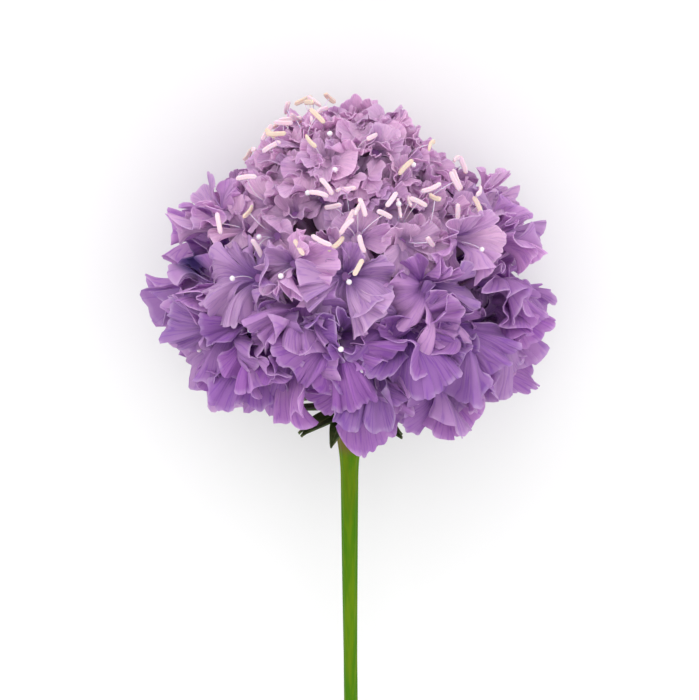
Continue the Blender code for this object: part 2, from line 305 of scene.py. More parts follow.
def build_stem():
    """A tube: its centre bows sideways as the square of the share of its length, its radius narrows to
    the neck and widens in the flare, and waves STEM_RIBS times round as a cosine."""
    share = np.linspace(0, 1, STEM_RINGS) ** STEM_RING_EASE
    spin = np.linspace(0, tau, STEM_SIDES, endpoint=False)
    radii = (STEM_TOP_RADIUS, STEM_NECK_RADIUS, STEM_END_RADIUS)
    radius = np.interp(share, (0, STEM_NECK_SHARE, 1), radii)
    radius = radius + STEM_FLARE * np.clip(1 - share / STEM_FLARE_SHARE, 0, 1) ** 2
    down = share[:, None]
    rib = 1 + STEM_RIB_DEPTH * (np.cos(STEM_RIBS * spin[None] + STEM_RIB_TWIST * down) - 1)
    reach = radius[:, None] * rib
    drop = np.broadcast_to(-STEM_LENGTH * down - SEAT_GAP, reach.shape)
    points = np.stack([STEM_BOW * down**2 + reach * np.sin(spin), drop, reach * np.cos(spin)], axis=-1)
    world = in_world(np.vstack([points.reshape(-1, 3), points[0].mean(0), points[-1].mean(0)]))
    world[:, 2] = np.maximum(world[:, 2], TABLE_CLEARANCE)
    quads = grid_faces(STEM_RINGS, STEM_SIDES, closed=True)
    piece = new_piece("stem", world, quads, stem_material(), end_fans(STEM_RINGS, STEM_SIDES))
    point_normals_out(piece)
    add_value(piece, "along", np.append(-drop.ravel(), (TOP_MIDDLE, STEM_LENGTH)))
    return piece


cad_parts["stem"].name = "cad_stem"
stem = build_stem()
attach(stem, "root")
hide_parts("stem")

# The involucre
# Under the florets sits a small green cup with two whorls of narrow leafy bracts grown from it. Each
# bract is a blade folded along its midrib that arches out of the cup and ends in a sharp tip.
CUP_RADIUS = 5.2 * MM
CUP_HEIGHT = 2.2 * MM
CUP_SIDES = 48
# The cup's side from the underside to the top, in shares of its radius and its height.
CUP_PROFILE = np.array([
    (0.62, 0.02), (0.75, 0.05), (0.92, 0.3), (1.0, 0.6), (0.99, 0.85), (0.9, 0.97), (0.5, 1.0)
])
CUP_SHADE = 0.6
BRACT_COUNT = 16
BRACT_LENGTH = 10.5 * MM
BRACT_WIDTH = 3.0 * MM
BRACT_THICKNESS = 0.35 * MM
BRACT_FOLD = 0.35 * MM
BRACT_ROOT = 0.5 * CUP_RADIUS
BRACT_ROWS, BRACT_COLUMNS = 17, 9
# The bracts differ in their place round the cup, in shares of the room each one has, in their share of
# the full length, and in their droop and twist in mm.
BRACT_PLACES = (-0.25, 0.25)
BRACT_LENGTHS = (0.88, 1.08)
BRACT_DROOPS = (-2.6, -0.2)
BRACT_TWISTS = (-0.4, 0.4)
# Every second bract is of the lower whorl: shorter by a share, seated lower on the cup in shares of its
# height, and more drooping.
LOWER_SHORTER = 0.16
LOWER_DROOP = 1.0 * MM
UPPER_SEAT, LOWER_SEAT_DROP = 0.62, 0.3
PLANT_SEED = 5
LEAF_DARK = (0.035, 0.062, 0.012)
LEAF_GREEN = (0.09, 0.13, 0.03)
LEAF_RIB = (0.16, 0.2, 0.07)


def surface_normals(middle):
    """Unit normals of sheets of points (..., rows, columns, 3): the cross of their two differences."""
    along = np.gradient(middle, axis=-3)
    across = np.gradient(middle, axis=-2)
    normal = np.cross(along, across)
    return normal / np.maximum(np.linalg.norm(normal, axis=-1, keepdims=True), 1e-12)


def thin_sheets(middle, thickness):
    """Closed thin solids from sheets (count, rows, columns, 3): both faces lie half a thickness along
    the normal from the middle sheet, and a strip joins them round the rim. Returns points and quads."""
    count, rows, columns, _ = middle.shape
    normal = surface_normals(middle)
    half = np.broadcast_to(np.asarray(thickness, float) / 2, middle.shape[:-1])[..., None]
    both = np.stack([middle + normal * half, middle - normal * half], axis=1)
    size = rows * columns
    face = grid_faces(rows, columns)
    index = np.arange(size).reshape(rows, columns)
    rim = np.concatenate([index[0, :-1], index[:-1, -1], index[-1, :0:-1], index[:0:-1, 0]])
    after = np.roll(rim, -1)
    edge = np.stack([rim, after, after + size, rim + size], axis=-1)
    one = np.concatenate([face[:, ::-1], face + size, edge])
    quads = (one[None] + (np.arange(count) * 2 * size)[:, None, None]).reshape(-1, 4)
    return both.reshape(-1, 3), quads


def bract_material():
    """Dark leaf green, mottled, with a paler midrib."""
    m = Shader("bract_leaf", Roughness=0.55, Subsurface_Weight=0.1)
    m.shader.inputs["Subsurface Scale"].default_value = 0.8 * MM
    mottle = m.group(plant_streaks, Scale=500.0, Stretch=1.0)
    leaf = m.mix(m.ramp(mottle.outputs["Streak"], 0.35, 0.7), LEAF_DARK, LEAF_GREEN)
    leaf = m.mix(m.ramp(m.value("from_rib"), 0.16, 0.02), leaf, LEAF_RIB)
    m.link(leaf, m.shader.inputs["Base Color"])
    m.bump(mottle.outputs["Grain"], 0.3, 0.1 * MM)
    return m.material


def bract_sheets():
    """The bracts' middle sheets and their share u across: along a share s the half width is a lancet,
    sin(pi s^0.7)^0.8, the fold rises with |u|, and the blade droops with s squared and twists."""
    rng = np.random.default_rng(PLANT_SEED)
    s, u = np.meshgrid(np.linspace(0, 1, BRACT_ROWS), np.linspace(-1, 1, BRACT_COLUMNS), indexing="ij")
    k = np.arange(BRACT_COUNT)
    lower = k % 2

    def each(limits):
        return rng.uniform(*limits, BRACT_COUNT)

    turn = tau * (k + each(BRACT_PLACES)) / BRACT_COUNT
    length = (BRACT_LENGTH * (1 - LOWER_SHORTER * lower) * each(BRACT_LENGTHS))[:, None, None]
    width = BRACT_WIDTH / 2 * (0.35 * (1 - s) ** 2 + np.sin(np.pi * s**0.7) ** 0.8 + 0.02)
    lower = lower[:, None, None]
    droop = (each(BRACT_DROOPS) * MM)[:, None, None] - lower * LOWER_DROOP
    height = CUP_HEIGHT * (UPPER_SEAT - LOWER_SEAT_DROP * lower) + BRACT_FOLD * np.abs(u) + droop * s**2
    height = height + each(BRACT_TWISTS)[:, None, None] * MM * np.sin(2.4 * s + 1) * u
    out, across = around_axis(turn)[:, None, None], around_axis(turn + np.pi / 2)[:, None, None]
    middle = out * (BRACT_ROOT + length * s)[..., None]
    middle = middle + across * np.broadcast_to(width * u, (BRACT_COUNT, *s.shape))[..., None]
    return middle + ALONG_AXIS * height[..., None], u


def build_involucre():
    """The bracts as thin solids, and the cup, a profile turned about the axis."""
    middle, u = bract_sheets()
    blades, quads = thin_sheets(in_world(middle), BRACT_THICKNESS)
    spin = np.linspace(0, tau, CUP_SIDES, endpoint=False)
    ring = around_axis(spin)[None] * (CUP_PROFILE[:, 0] * CUP_RADIUS)[:, None, None]
    ring = ring + ALONG_AXIS * (CUP_PROFILE[:, 1] * CUP_HEIGHT)[:, None, None]
    centres = ALONG_AXIS * (CUP_PROFILE[[0, -1], 1:] * CUP_HEIGHT)
    cup = np.vstack([ring.reshape(-1, 3), centres])
    points = np.vstack([blades, in_world(cup)])
    rings = len(CUP_PROFILE)
    quads = np.vstack([quads, grid_faces(rings, CUP_SIDES, closed=True, first=len(blades))])
    piece = new_piece("involucre", points, quads, bract_material(), end_fans(rings, CUP_SIDES, len(blades)))
    point_normals_out(piece)
    from_rib = np.tile(np.abs(u).ravel(), 2 * BRACT_COUNT)
    add_value(piece, "from_rib", np.append(from_rib, np.full(len(cup), CUP_SHADE)))
    return piece


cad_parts["involucre"].name = "cad_involucre"
involucre = build_involucre()
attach(involucre, "root")
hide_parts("involucre")

# The receptacle
# Inside the head stands the domed core that every floret grows from, green and brown, pitted where
# the florets sit. It shows only as dark gaps between the petals.
CORE_RADIUS = 8.6 * MM
CORE_BOTTOM = 2.6 * MM
CORE_HALF_LENGTH = 20 * MM
CORE_CENTRE = 17.8 * MM
CORE_RINGS, CORE_SIDES = 60, 80
POLE_GAP = 0.02
PIT_DEPTH = 0.05
CORE_BROWN = (0.035, 0.028, 0.010)
CORE_GREEN = (0.10, 0.10, 0.035)


def core_material():
    """A rough skin mottled brown and green."""
    m = Shader("receptacle_skin", Roughness=0.8)
    mottle = m.group(plant_streaks, Scale=420.0, Stretch=1.0)
    skin = m.mix(m.ramp(mottle.outputs["Streak"], 0.35, 0.65), CORE_BROWN, CORE_GREEN)
    m.link(skin, m.shader.inputs["Base Color"])
    m.bump(mottle.outputs["Grain"], 0.5, 0.3 * MM)
    return m.material


def build_core():
    """An ellipsoid about the axis, with v from its lower pole to its upper one and h round it, cut flat
    at its base and pitted by a product of two waves."""
    poles = np.linspace(POLE_GAP, np.pi - POLE_GAP, CORE_RINGS)
    v, h = np.meshgrid(poles, np.linspace(0, tau, CORE_SIDES, endpoint=False), indexing="ij")
    pit = 1 - PIT_DEPTH * np.sin(16 * h + 8 * v) * np.sin(22 * v)
    up = np.maximum(CORE_CENTRE - CORE_HALF_LENGTH * np.cos(v) * pit, CORE_BOTTOM)
    middle = around_axis(h) * (CORE_RADIUS * np.sin(v) * pit)[..., None] + ALONG_AXIS * up[..., None]
    points = in_world(np.vstack([middle.reshape(-1, 3), middle[0].mean(0), middle[-1].mean(0)]))
    quads = grid_faces(CORE_RINGS, CORE_SIDES, closed=True)
    piece = new_piece("receptacle", points, quads, core_material(), end_fans(CORE_RINGS, CORE_SIDES))
    point_normals_out(piece)
    return piece


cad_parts["bloom"].name = "cad_bloom"
core = build_core()
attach(core, "root")

# The florets
# Each floret is a slim pale tube that opens into a limb of five lobes. Low on the head the three outer
# lobes are broad fans with frilled, finely toothed edges; in the crown all five are small and cupped.
# They stand on the core in a spiral, each one turned by the golden angle from the last.
FLORET_COUNT = 160
FLORET_SEED = 23
GOLDEN_ANGLE = tau * 0.381966
# One line for each height of the head: share of the florets below it, throat out from the axis and up it,
# outer and inner lobe length and frill in mm, the way it faces above level and the lean its lobes end at
# in degrees, and how deep its colour is, partly its own hue and partly painted shade that darkens the lower
# head.
HEAD_PLAN = np.array([
    (0.00, 22.3, 13.0, 16.6, 6.5, 1.7, -8, 6, 0.88),
    (0.12, 23.8, 19.8, 16.0, 7.0, 1.8, 0, 4, 0.84),
    (0.24, 25.6, 26.0, 15.5, 7.5, 2.1, 15, 4, 0.98),
    (0.31, 26.0, 32.5, 12.6, 8.5, 2.1, 25, 8, 0.8),
    (0.36, 25.6, 38.6, 10.4, 9.0, 1.8, 18, 14, 0.4),
    (0.385, 25.6, 40.0, 10.0, 9.0, 1.6, 18, 16, 0.25),
    (0.39, 22.2, 39.5, 6.6, 5.4, 0.5, 22, 22, 0.12),
    (0.48, 19.2, 41.6, 6.2, 5.2, 0.45, 32, 24, 0.15),
    (0.56, 16.4, 43.6, 6.0, 5.2, 0.45, 40, 22, 0.1),
    (0.64, 14.2, 46.4, 6.0, 5.2, 0.45, 42, 22, 0.08),
    (0.75, 12.4, 49.6, 6.0, 5.2, 0.45, 44, 22, 0.06),
    (0.86, 10.2, 52.6, 5.8, 5.2, 0.45, 54, 22, 0.03),
    (0.94, 7.2, 54.8, 5.6, 5.0, 0.45, 66, 24, 0.0),
    (1.00, 1.5, 55.8, 5.6, 5.0, 0.45, 84, 24, 0.0),
])
SMALL_SHARE = 0.3875
# The florets stray from the plan, the large ones and the small ones by their own shares of these: radians
# of the spiral, degrees of the way they face, radians of roll, and mm out and up.
TURN_STRAY = 0.12
TIP_STRAY, SMALL_TIP_STRAY = 15, 1.5
ROLL_STRAY = 0.6
OUT_STRAY, SMALL_OUT_STRAY = 1.3, 0.5
UP_STRAY = 1.0
# The skirt, the lowest quarter, hangs lower on the right, is lifted in front and is uneven at its sides,
# all in mm.
SKIRT_SHARE = 0.25
SKIRT_DROOP = 2.6
FRONT_LIFT = 6.0
SKIRT_LEFT_OUT = 1.6
SKIRT_RIGHT_IN = 1.6
# The rim, the last large florets under the crown, hangs lower behind and is narrower at its sides, in mm,
# and its inner lobes are shorter in front and behind.
RIM_SHARE = 0.38
RIM_SPREAD = 0.1
RIM_FRONT_DROP = 0.8
RIM_BACK_DROP = 7.0
RIM_SIDE_LIFT = 1.6
RIM_LEFT_IN = 3.0
RIM_RIGHT_IN = 1.2
RIM_INNER_SHORTER = 0.45
# The skirt and the rim lie this many mm to the right, and florets at the sides are paler by a share.
SHIFT_RIGHT = 0.3
SIDE_PALER = 0.22
# Two gaps, as a turn, half a width and the shares of the florets they reach over: one in the lowest rows
# just left of the stem, and the dark hollow between the skirt and the crown.
GAPS = (
    (radians(-14), radians(13), 0.0, 0.12),
    (radians(-24), radians(13), 0.45, 0.58),
)
# The tubes root inside the core, at a share of its radius, and higher up for the higher florets.
ROOT_SHARE = 0.6
ROOT_LIFT = 2 * MM
ROOTS_CLIMB_FROM = 17 * MM
ROOTS_CLIMB = 0.85


def turned_from(turn, centre):
    """How far a turn is from a centre, from minus half a turn to half a turn."""
    return (turn - centre + np.pi) % tau - np.pi


def plan_florets():
    """The florets' throats, their directions and their sizes: outward is the way a floret opens, outer the
    way its large lobes point (down the head) and sideways completes them."""
    rng = np.random.default_rng(FLORET_SEED)
    share = np.arange(FLORET_COUNT) / (FLORET_COUNT - 1)
    turn = np.arange(FLORET_COUNT) * GOLDEN_ANGLE + rng.uniform(-TURN_STRAY, TURN_STRAY, FLORET_COUNT)
    kept = np.ones(FLORET_COUNT, bool)
    for gap_turn, half_width, first, last in GAPS:
        kept &= (np.abs(turned_from(turn, gap_turn)) > half_width) | (share < first) | (share > last)
    share, turn = share[kept], turn[kept]
    count = len(share)
    out, up, outer_size, inner_size, frill, tip, end, tone_and_shade = (
        np.interp(share, HEAD_PLAN[:, 0], column) for column in HEAD_PLAN[:, 1:].T
    )
    large = share < SMALL_SHARE
    sine, cosine = np.sin(turn), np.cos(turn)
    right, left, front, behind = sine.clip(0), (-sine).clip(0), cosine.clip(0), (-cosine).clip(0)
    skirt = np.clip(1 - share / SKIRT_SHARE, 0, 1)
    rim = np.exp(-(((share - RIM_SHARE) / RIM_SPREAD) ** 2)) * large

    tip_stray = rng.uniform(-TIP_STRAY, TIP_STRAY, count) * np.where(large, 1, SMALL_TIP_STRAY)
    tip = np.radians(tip + tip_stray)[:, None]
    roll = rng.uniform(-ROLL_STRAY, ROLL_STRAY, count)[:, None]
    out = out + rng.uniform(-OUT_STRAY, OUT_STRAY, count) * np.where(large, 1, SMALL_OUT_STRAY)
    tone_and_shade = tone_and_shade * (1 - SIDE_PALER * sine**2)
    up = up + rng.uniform(-UP_STRAY, UP_STRAY, count) - skirt * (SKIRT_DROOP * sine - FRONT_LIFT * front**3)
    up = up - rim * (RIM_FRONT_DROP * front + RIM_BACK_DROP * behind)
    up = up + RIM_SIDE_LIFT * rim * sine**2
    out = out + skirt * (SKIRT_LEFT_OUT * left - SKIRT_RIGHT_IN * right)
    out = out - rim * sine**2 * np.where(sine < 0, RIM_LEFT_IN, RIM_RIGHT_IN)
    inner_size = inner_size * (1 - RIM_INNER_SHORTER * rim * cosine**2)
    out = (out + SHIFT_RIGHT * sine * (rim + skirt))[:, None] * MM
    up = up[:, None] * MM

    away = around_axis(turn)
    outward = away * np.cos(tip) + ALONG_AXIS * np.sin(tip)
    outer = away * np.sin(tip) - ALONG_AXIS * np.cos(tip)
    sideways = np.cross(outward, outer)
    root_up = CORE_BOTTOM + (up - ROOTS_CLIMB_FROM).clip(0) * ROOTS_CLIMB + ROOT_LIFT
    return {
        "throat": away * out + ALONG_AXIS * up,
        "outward": outward,
        "outer": outer * np.cos(roll) + sideways * np.sin(roll),
        "sideways": sideways * np.cos(roll) - outer * np.sin(roll),
        "root": away * CORE_RADIUS * ROOT_SHARE + ALONG_AXIS * root_up,
        "sizes": np.stack([outer_size * MM, inner_size * MM, frill * MM, np.radians(end), tone_and_shade], axis=1),
        "large": large,
        "share": share,
        "turn": turned_from(turn, 0),
    }


florets = plan_florets()


def throats_and_ways(which):
    """The throats of some florets and their outward, outer and sideways directions."""
    return [florets[name][which] for name in ("throat", "outward", "outer", "sideways")]


# The lobes stand round the throat at these turns from the outer one. Their half angles are for a broad
# outer lobe, for a small one, and for all of them at the throat, where they join.
LOBE_CENTRES = np.radians([0, 68, -68, 143, -143])
BIG_HALF_ANGLE = radians(42)
SMALL_HALF_ANGLE = radians(37)
THROAT_HALF_ANGLE = radians(38)
THROAT_RADIUS = 1.25 * MM
FUNNEL_DEPTH = 1.6 * MM
LOBE_START = radians(78)
# The lobes that point up the head stand up more than those that hang down it.
INNER_LEAN = radians(26)
PETAL_THICKNESS = 0.2 * MM
EDGE_THINNER = 0.35
PLEAT_HEIGHT = 0.035 * MM
# Rows and columns of a lobe's sheet, and how many teeth it has and how deep, as shares of a large lobe's.
LOBE_GRIDS = {"large": (12, 41), "small": (9, 15)}
TOOTH_NUMBERS = {"large": 1, "small": 0.6}
TOOTH_DEPTHS = {"large": 1, "small": 0.3}
# No lobe is like the next. These are the limits of its share of the planned length and half angle, of its
# place round the throat and its lean at both ends in radians, of its depth in mm, of its tilt and cupping,
# of its teeth and notches, and of the radians that each kind of wave runs over from the middle to a side.
LENGTHS = (0.74, 1.1)
HALF_ANGLES = (0.85, 1.22)
PLACES = (-0.1, 0.1)
START_LEANS = (-0.05, 0.05)
END_LEANS = (-0.8, 0.75)
DEPTHS = (-0.2, 0.2)
TILTS = (-0.42, 0.42)
CUPPINGS = (-0.25, 0.5)
TEETH = (3.6, 5.0)
NOTCHES = (0.7, 1.4)
NOTCH_DEPTHS = (0.02, 0.2)
FOLDS = (2.8, 6.5)
FRILLS = (8, 14)
PLEATS = (22, 30)
ANY_PHASE = (0, tau)
TONE_SCATTER = 0.1
# The pale margin, a painted highlight along the lobe's edge, starts at these shares along and across a lobe
# and is full over these widths.
MARGIN_END, MARGIN_END_WIDTH = 0.92, 0.08
MARGIN_SIDE, MARGIN_SIDE_WIDTH = 0.95, 0.05
# Below the second height a lobe starts to bend level, and below the first it is bent in full. The five
# lobes of a floret that meet the table lie on it in layers, given in mm.
BEND_FULL, BEND_NONE = 4 * MM, 8 * MM
BEND_WIDTH = 1.2 * MM
FIRST_LAYER, LAYER_STEP = 0.1, 0.28
LAYER_CLEARANCE = 0.12 * MM
# One petal fold on the left has painted shade, a deep blue violet: its place and size as the viewer sees
# them.
FOLD_SHADE_PLACE = np.array([-28.5, 27.5]) * MM
FOLD_SHADE_SIZE = np.array([3.6, 1.9]) * MM
# It is turned by the angle whose sine is 0.6.
FOLD_SHADE_SLANT = np.array([[0.8, 0.6], [-0.6, 0.8]])
FOLD_SHADE_NEAREST = -2 * MM


def lay_on_table(points, layer):
    """Bends what would pass through the table flat on it: the height h turns into a smooth maximum of h
    and the layer, half of h + layer + sqrt((h - layer)^2 + w^2), and eases back to h above BEND_FULL."""
    height = points[..., 2]
    low = layer + LAYER_CLEARANCE
    bent = 0.5 * (height + low + np.sqrt((height - low) ** 2 + BEND_WIDTH**2))
    unbent = np.clip((height - BEND_FULL) / (BEND_NONE - BEND_FULL), 0, 1)
    result = points.copy()
    result[..., 2] = np.where(height > BEND_NONE, height, bent - (bent - height) * unbent)
    return result


def fold_shade(points):
    """1 inside the fold with painted shade and 0 away from it: a bell of the distance across the viewer's
    line of sight, on the side of the head that faces the viewer."""
    seen = (points - BASE) @ np.column_stack([SIDE, picture_up])
    slant = (seen - FOLD_SHADE_PLACE) @ FOLD_SHADE_SLANT
    bell = np.exp(-(np.linalg.norm(slant / FOLD_SHADE_SIZE, axis=-1) ** 4))
    return bell * ((points - BASE) @ FACING > FOLD_SHADE_NEAREST)


def build_lobes(name, chosen, size, material, seed):
    """Every lobe of the chosen florets as a thin ruffled sheet.

    Along a share s the sheet leaves the throat at a steep lean that eases to nearly flat, which gives its
    reach and its rise. Across a share u it fans over an angle round the throat, and its length falls
    towards the corners and dips in rounded teeth. It is then moved along its own normal by folds that
    widen towards the edge, a frill of short waves at the edge and fine pleats that fan from the throat."""
    rng = np.random.default_rng(seed)
    throat, outward, outer, sideways = throats_and_ways(chosen)
    grid = LOBE_GRIDS[size]
    lobes = len(LOBE_CENTRES)
    count = len(throat) * lobes
    shape = (count, 1, 1)
    s = np.linspace(0, 1, grid[0])[:, None] ** 0.85
    u = np.linspace(-1, 1, grid[1])[None, :]

    def each(low, high):
        return rng.uniform(low, high, shape)

    def floret(values):
        return np.repeat(values, lobes, axis=0)[:, None, None]

    # The outline: how far round the throat each lobe fans, and how its edge dips.
    outer_size, inner_size, frill, end_lean, tone_and_shade = (floret(v) for v in florets["sizes"][chosen].T)
    centre = np.tile(LOBE_CENTRES, len(throat)).reshape(shape)
    outerness = (0.5 + 0.5 * np.cos(centre)) ** 0.8
    big = np.clip(outerness * 1.4, 0, 1)
    length = (inner_size + (outer_size - inner_size) * outerness) * each(*LENGTHS)
    half = (SMALL_HALF_ANGLE + (BIG_HALF_ANGLE - SMALL_HALF_ANGLE) * big) * each(*HALF_ANGLES)
    waist = half + (THROAT_HALF_ANGLE - half) * np.clip(1 - s * 5, 0, 1)
    angle = centre + each(*PLACES) + waist * u
    corner = 1 - 0.12 * np.abs(u) ** 2 - 0.25 * np.abs(u) ** 5
    teeth_at = u * each(*TEETH) * (0.5 + 0.5 * big) * TOOTH_NUMBERS[size]
    teeth_at = teeth_at + 0.4 * np.sin(u * each(3, 6) + each(*ANY_PHASE)) + each(0, 1)
    teeth = np.abs(np.cos(np.pi * teeth_at)) ** 0.7
    notches = 0.5 + 0.5 * np.cos(tau * (u * each(*NOTCHES) + each(0, 1)))
    dips = 0.06 * (1 - teeth) + each(*NOTCH_DEPTHS) * notches**3
    edge = corner * (1 - TOOTH_DEPTHS[size] * dips)
    reach_share = s * (1 + (edge - 1) * s)

    # The side view: reach and rise are sums of steps along the lean, and each lobe tilts and cups.
    start = LOBE_START + each(*START_LEANS)
    end = end_lean + each(*END_LEANS) + INNER_LEAN * (0.5 - big).clip(-0.2)
    lean = start + (end - start) * np.clip(s * 1.15, 0, 1) ** 0.65
    step = np.diff(reach_share, axis=1, prepend=0 * reach_share[:, :1]) * length
    reach = THROAT_RADIUS * 0.6 + np.cumsum(step * np.cos(lean), axis=1)
    rise = np.cumsum(step * np.sin(lean), axis=1) - FUNNEL_DEPTH + each(*DEPTHS) * MM
    rise = rise + u * each(*TILTS) * reach + each(*CUPPINGS) * reach * u**2 * s
    ray = floret(outer) * np.cos(angle)[..., None] + floret(sideways) * np.sin(angle)[..., None]
    middle = floret(throat) + ray * reach[..., None] + floret(outward) * rise[..., None]

    # The ruffles: waves along the sheet's own normal, short ones at the edge and long ones all over.
    normal = surface_normals(middle)
    frill = frill * (0.45 + 0.55 * big)
    fold = np.sin(u * each(*FOLDS) + s * each(-1.5, 1.5) + each(*ANY_PHASE)) * s**1.2
    short = u * each(*FRILLS) + 2.0 * np.sin(u * each(1.5, 3) + each(*ANY_PHASE)) + each(*ANY_PHASE)
    wave = np.sin(short) * s**2.4
    pleat = np.sin(u * each(*PLEATS) + 1.5 * s + each(*ANY_PHASE)) * np.sin(np.pi * s) ** 0.5
    swell = np.sin(4.2 * s + u * each(-2, 2) + each(*ANY_PHASE)) * np.clip(s * 2, 0, 1)
    offset = frill * (1.15 * fold + 0.85 * wave + 0.5 * swell) + PLEAT_HEIGHT * pleat
    middle = middle + normal * offset[..., None]

    layer = (FIRST_LAYER + LAYER_STEP * (np.arange(count) % lobes).reshape(shape)) * MM
    world = lay_on_table(in_world(middle), layer)
    points, quads = thin_sheets(world, PETAL_THICKNESS * (1.0 - EDGE_THINNER * s))
    piece = new_piece(name, points, quads, material)

    def spread(values):
        return np.broadcast_to(values, (count, *grid)).reshape(count, 1, -1).repeat(2, axis=1)

    # The margin mask, along which the petal material paints a paler highlight.
    end_rim = np.clip((s - MARGIN_END) / MARGIN_END_WIDTH, 0, 1)
    side_rim = np.clip((np.abs(u) - MARGIN_SIDE) / MARGIN_SIDE_WIDTH, 0, 1) * np.clip(s * 3, 0, 1)
    # The mask of the painted shade on the fold on the left.
    add_value(piece, "fold_shade", fold_shade(points))
    add_value(piece, "rim", spread(np.maximum(end_rim, side_rim)))
    add_value(piece, "along", spread(s * np.ones_like(u)))
    add_value(piece, "across", spread(u * np.ones_like(s)))
    # The florets' tone, partly their own hue and partly painted shade of the lower head, scattered a little
    # from lobe to lobe.
    add_value(piece, "tone_and_shade", spread(np.clip(tone_and_shade + rng.normal(0, TONE_SCATTER, shape), 0, 1)))
    add_value(piece, "chance", spread(rng.uniform(0, 1, shape)))
    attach(piece, "root")
    return piece


PETAL_DEEP = (0.28, 0.05, 0.54)
PETAL_LILAC = (0.485, 0.205, 0.605)
PETAL_PALE = (0.935, 0.645, 0.885)
# The deep blue violet of the painted shade on the fold on the left.
FOLD_SHADE_VIOLET = (0.03, 0.012, 0.22)
THROUGH_SHARE = 0.38


def petal_veins():
    """A node group: the veins of a petal, fine lines that fan out from the throat and waver, from the
    shares along and across it. Vein is 1 on a line, and Height is the relief that goes with them."""
    tree, inside, outside = new_group("petal_veins", ("Along", "Across", "Chance"), ("Vein", "Height"))
    along, across, chance = (inside.outputs[n] for n in ("Along", "Across", "Chance"))

    def math(operation, first, second=None, clamp=False):
        return math_node(tree, operation, first, second, clamp)

    def streaks(across_factor, along_factor, detail):
        place = tree.nodes.new("ShaderNodeCombineXYZ")
        factors = (("X", across, across_factor), ("Y", along, along_factor), ("Z", chance, 60.0))
        for axis, socket, factor in factors:
            tree.links.new(math("MULTIPLY", socket, factor), place.inputs[axis])
        return noise_node(tree, place.outputs[0], 1.0, detail)

    broad, fine = streaks(9.0, 1.1, 2), streaks(24.0, 1.8, 3)
    shifted = math("ADD", across, math("MULTIPLY", math("SUBTRACT", broad, 0.5), 0.5))
    ripple = math("ABSOLUTE", math("SINE", math("MULTIPLY", shifted, 26.0)))
    line = math("POWER", math("SUBTRACT", 1.0, ripple), 2.2)
    dark = math("MULTIPLY", math("SUBTRACT", 1.0, fine), 0.9)
    tree.links.new(math("MULTIPLY", math("ADD", line, dark), 0.6, clamp=True), outside.inputs["Vein"])
    height = math("ADD", math("MULTIPLY", ripple, 0.55), math("ADD", math("MULTIPLY", fine, 0.9), broad))
    tree.links.new(height, outside.inputs["Height"])
    return tree


petal_vein_group = petal_veins()


def petal_material():
    """A soft matt petal: deep violet at the throat, partly its own colour and partly painted shade of its
    recess, its own lilac over the blade, deeper on the lower head partly as painted shade, and a paler edge
    that is a painted highlight, with darker veins and one fold on the left in painted shade. Some light
    passes through it, so a share of it is a Translucent shader."""
    m = Shader("petal_lilac", Roughness=0.65, Specular_IOR_Level=0.18, Sheen_Weight=0.1, Sheen_Roughness=0.5)
    along, across, tone_and_shade, chance, rim, fold_shaded = (
        m.value(name) for name in ("along", "across", "tone_and_shade", "chance", "rim", "fold_shade")
    )

    def scaled(value, factor, more):
        return m.math("ADD", m.math("MULTIPLY", value, factor), more)

    veins = m.group(petal_vein_group, Along=along, Across=across, Chance=chance)
    # Pale in the crown and lilac lower down: partly the florets' own hue and partly painted shade that
    # darkens the lower head.
    body = m.mix(tone_and_shade, PETAL_PALE, PETAL_LILAC)
    # Deep violet towards the throat: partly the throat's own colour and partly painted shade of the recess
    # down in the funnel, stronger on the deeper florets.
    throat_colour_and_shade = m.math("MULTIPLY", m.ramp(along, 0.6, 0.0, 0, 0.9), scaled(tone_and_shade, 0.55, 0.3))
    body = m.mix(throat_colour_and_shade, body, PETAL_DEEP)
    vein = m.math("MULTIPLY", m.ramp(veins.outputs["Vein"], 0.25, 0.85), scaled(tone_and_shade, 0.26, 0.18))
    body = m.mix(vein, body, PETAL_DEEP)
    where = m.add("ShaderNodeTexCoord").outputs["Object"]
    # A paler margin along the edges, a painted highlight, patchy over the petal.
    rim_highlight = m.ramp(m.noise(where, 420.0, 2.0), 0.4, 0.6, 0.08, 0.42)
    rim_highlight_colour = tuple(min(1, c * 1.15 + 0.08) for c in PETAL_PALE)
    body = m.mix(m.math("MULTIPLY", rim, rim_highlight), body, rim_highlight_colour)
    blotch = m.ramp(m.noise(where, 130.0, 4.0), 0.45, 0.75, 0, 0.35)
    body = m.mix(blotch, body, m.mix(0.5, body, PETAL_DEEP))
    # Painted shade: the fold on the left darkened to a deep blue violet.
    body = m.mix(m.math("MULTIPLY", fold_shaded, 0.85), body, FOLD_SHADE_VIOLET)

    # Every lobe has its own slight change of hue and lightness.
    own = m.add("ShaderNodeHueSaturation")
    m.link(scaled(chance, 0.024, 0.487), own.inputs["Hue"])
    m.link(scaled(chance, 0.14, 0.93), own.inputs["Value"])
    m.link(body, own.inputs["Color"])
    m.link(own.outputs["Color"], m.shader.inputs["Base Color"])
    grain = m.math("MULTIPLY", m.noise(where, 2600.0, 3.0), 0.5)
    m.bump(m.math("ADD", m.math("MULTIPLY", veins.outputs["Height"], 0.8), grain), 0.75, 0.2 * MM)
    through = m.add("ShaderNodeBsdfTranslucent")
    m.link(own.outputs["Color"], through.inputs["Color"])
    mixed = m.add("ShaderNodeMixShader")
    mixed.inputs[0].default_value = THROUGH_SHARE
    m.link(m.shader.outputs[0], mixed.inputs[1])
    m.link(through.outputs[0], mixed.inputs[2])
    m.link(mixed.outputs[0], m.tree.nodes["Material Output"].inputs["Surface"])
    return m.material


